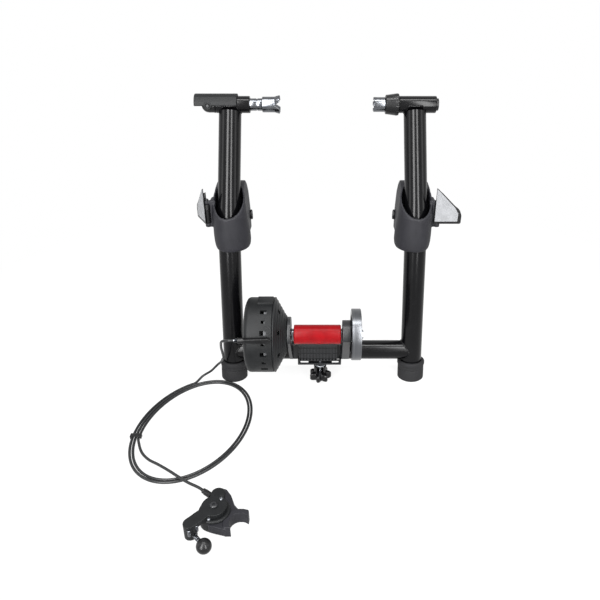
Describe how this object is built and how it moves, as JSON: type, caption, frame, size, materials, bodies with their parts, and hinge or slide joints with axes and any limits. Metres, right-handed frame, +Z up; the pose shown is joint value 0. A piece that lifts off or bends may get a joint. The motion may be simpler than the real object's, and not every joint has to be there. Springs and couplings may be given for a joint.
{
  "type": "magnetic turbo trainer",
  "caption": "Folding A-frame stand that holds a bicycle's rear axle, with a magnetic roller unit that the tyre drives and a remote lever on a control cable.",
  "frame": {"origin": "on the floor under the middle of the stand, measured without the control cable and its remote", "axes": "+Z up, +Y from the roller side to the long rear legs, +X to the right seen from the roller side"},
  "size_m": [0.5416, 0.9278, 0.4475],
  "materials": {
    "gloss_black": "gloss black powder coat",
    "shroud_grey": "dark grey moulded shroud",
    "housing_grey": "dark grey moulding",
    "chrome": "bright plated steel",
    "steel": "turned bright steel",
    "zinc": "zinc plated steel",
    "black_steel": "satin black pressed steel",
    "rubber": "dark grey rubber",
    "crimson": "crimson hard roller sleeve",
    "knob_black": "black moulding",
    "silver_label": "silver grey moulding"
  },
  "bodies": {
    "frame": {"upright_left": "gloss_black", "upright_right": "gloss_black", "axle_barrel_left": "gloss_black", "axle_barrel_right": "gloss_black", "crossbar": "gloss_black", "foot_cap_front_left": "rubber", "foot_cap_front_right": "rubber", "knuckle_left": "shroud_grey", "knuckle_right": "shroud_grey", "leg_pin_left": "zinc", "leg_pin_right": "zinc", "wing_pin_left": "zinc", "wing_pin_right": "zinc", "lever_fork": "housing_grey", "lever_pin": "zinc", "clamp_spring": "steel", "barrel_plug": "knob_black", "remote_housing": "housing_grey", "remote_ferrule": "knob_black", "remote_clamp": "housing_grey", "lever_screw": "chrome", "cable_lead": "knob_black", "cable_loops": "knob_black", "cable_tail": "knob_black", "cable_tie": "knob_black"},
    "left_leg": {"rear_leg_left": "gloss_black", "foot_cap_rear_left": "rubber"},
    "right_leg": {"rear_leg_right": "gloss_black", "foot_cap_rear_right": "rubber"},
    "left_wing": {"wing_left": "silver_label"},
    "right_wing": {"wing_right": "silver_label"},
    "handle": {"clamp_handle": "housing_grey", "clamp_cam": "steel"},
    "clamp_spindle": {"left_spindle": "chrome", "left_cup": "chrome"},
    "collar": {"lock_collar": "knob_black"},
    "stop_spindle": {"right_spindle": "chrome", "right_cup": "chrome"},
    "roller_unit": {"cradle": "black_steel", "clamp_saddle": "black_steel", "clamp_strap": "black_steel", "bearing_left": "steel", "bearing_right": "steel", "unit_housing": "housing_grey", "unit_cover": "housing_grey", "magnet_ring": "zinc", "cable_boss": "housing_grey", "cable_adjuster": "chrome"},
    "rotor": {"roller": "crimson", "roller_axle": "steel", "flywheel": "steel", "axle_nut": "zinc", "eddy_disc": "steel"},
    "turning_magnets": {"magnet_carrier": "zinc"},
    "washer": {"knob_washer": "zinc"},
    "knob": {"star_knob": "knob_black", "knob_screw": "chrome"},
    "remote_arm": {"remote_lever": "housing_grey", "ball_knob": "knob_black"}
  },
  "joints": [
    {"name": "leg_fold_left", "type": "hinge", "parent": "frame", "child": "left_leg", "pos_m": [-0.147, -0.14746, 0.262], "axis": [0.983, 0.1835, 0], "range_deg": [-62, 0]},
    {"name": "leg_fold_right", "type": "hinge", "parent": "frame", "child": "right_leg", "pos_m": [0.147, -0.14746, 0.262], "axis": [0.983, -0.1835, 0], "range_deg": [-62, 0]},
    {"name": "wing_swing_left", "type": "hinge", "parent": "frame", "child": "left_wing", "pos_m": [-0.1799, -0.18946, 0.28], "axis": [0, 0, 1], "range_deg": [-10, 75]},
    {"name": "wing_swing_right", "type": "hinge", "parent": "frame", "child": "right_wing", "pos_m": [0.1799, -0.18946, 0.28], "axis": [0, 0, 1], "range_deg": [-15, 70]},
    {"name": "clamp_handle_lift", "type": "hinge", "parent": "frame", "child": "handle", "pos_m": [-0.177, -0.11146, 0.431], "axis": [0, -1, 0], "range_deg": [0, 95]},
    {"name": "clamp_spindle_slide", "type": "slide", "parent": "frame", "child": "clamp_spindle", "axis": [1, 0, 0], "range_m": [-0.00496, 0]},
    {"name": "collar_turn", "type": "hinge", "parent": "frame", "child": "collar", "pos_m": [0.108, -0.11146, 0.431], "axis": [1, 0, 0], "range_deg": [0, 1800]},
    {"name": "stop_spindle_slide", "type": "slide", "parent": "frame", "child": "stop_spindle", "axis": [-1, 0, 0], "range_m": [0, 0.015]},
    {"name": "roller_unit_tilt", "type": "hinge", "parent": "frame", "child": "roller_unit", "pos_m": [0, -0.22261, 0.049], "axis": [1, 0, 0], "range_deg": [-4, 4]},
    {"name": "rotor_spin", "type": "hinge", "parent": "roller_unit", "child": "rotor", "pos_m": [0, -0.27146, 0.109], "axis": [1, 0, 0], "continuous": true},
    {"name": "magnet_turn", "type": "hinge", "parent": "roller_unit", "child": "turning_magnets", "pos_m": [-0.106, -0.27146, 0.109], "axis": [1, 0, 0], "range_deg": [0, 30]},
    {"name": "remote_lever_turn", "type": "hinge", "parent": "frame", "child": "remote_arm", "pos_m": [-0.134, -0.53746, 0.02], "axis": [0, 0, -1], "range_deg": [0, 60]},
    {"name": "washer_back_off", "type": "slide", "parent": "roller_unit", "child": "washer", "axis": [0, 0, -1], "range_m": [0, 0.0025]},
    {"name": "knob_turn", "type": "hinge", "parent": "washer", "child": "knob", "pos_m": [-0.004, -0.24776, 0.02], "axis": [0, 0, -1], "range_deg": [0, 720]}
  ],
  "couplings": [
    {"joint": "clamp_handle_lift", "follows": "clamp_spindle_slide", "rad_per_m": -334.45},
    {"joint": "collar_turn", "follows": "stop_spindle_slide", "rad_per_m": 2094.4},
    {"joint": "remote_lever_turn", "follows": "magnet_turn", "ratio": 2},
    {"joint": "washer_back_off", "follows": "knob_turn", "m_per_rad": 0.00019894}
  ]
}
